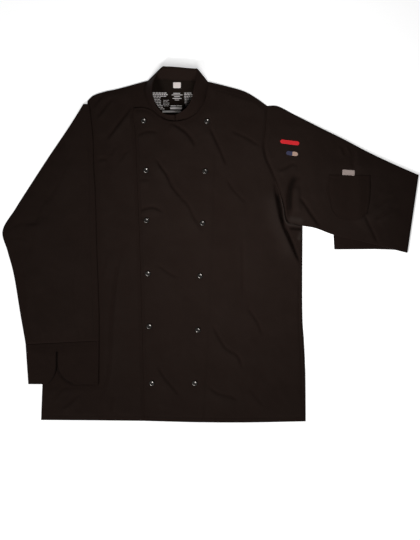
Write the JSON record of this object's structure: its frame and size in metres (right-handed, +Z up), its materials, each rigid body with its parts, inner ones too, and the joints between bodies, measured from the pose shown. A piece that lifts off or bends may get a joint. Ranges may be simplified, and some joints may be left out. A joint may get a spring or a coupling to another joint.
{
  "type": "chef jacket",
  "caption": "Double-breasted chef jacket laid flat, front up, with a stand collar, press studs in two rows, split cuffs and a sleeve pocket; one forearm is folded under.",
  "frame": {"origin": "middle of the jacket's outline on the surface that it lies on", "axes": "+X across the jacket to the right as seen from above, +Y towards the collar, +Z up from the table"},
  "size_m": [0.9157, 0.7832, 0.0318],
  "materials": {
    "cloth": "near-black warm twill, matt with a faint sheen",
    "stud_metal": "dark burnished metal, half gloss",
    "tag_white": "plain white woven tape",
    "tab_red": "plain red woven tape",
    "tab_two_tone": "plain blue and sand woven tape",
    "tab_grey": "plain pale woven tape"
  },
  "bodies": {
    "root": {"back_panel": "cloth", "front_under": "cloth", "front_over": "cloth", "sleeve_left": "cloth", "cuff_left": "cloth", "sleeve_right": "cloth", "cuff_right": "cloth", "sleeve_pocket": "cloth", "collar": "cloth", "stud_left_1": "stud_metal", "stud_left_2": "stud_metal", "stud_left_3": "stud_metal", "stud_left_4": "stud_metal", "stud_left_5": "stud_metal", "stud_left_6": "stud_metal", "stud_right_1": "stud_metal", "stud_right_2": "stud_metal", "stud_right_3": "stud_metal", "stud_right_4": "stud_metal", "stud_right_5": "stud_metal", "stud_right_6": "stud_metal", "neck_tag": "tag_white", "sleeve_tab_red": "tab_red", "sleeve_tab_small": "tab_two_tone", "pocket_tab": "tab_grey"}
  },
  "joints": []
}
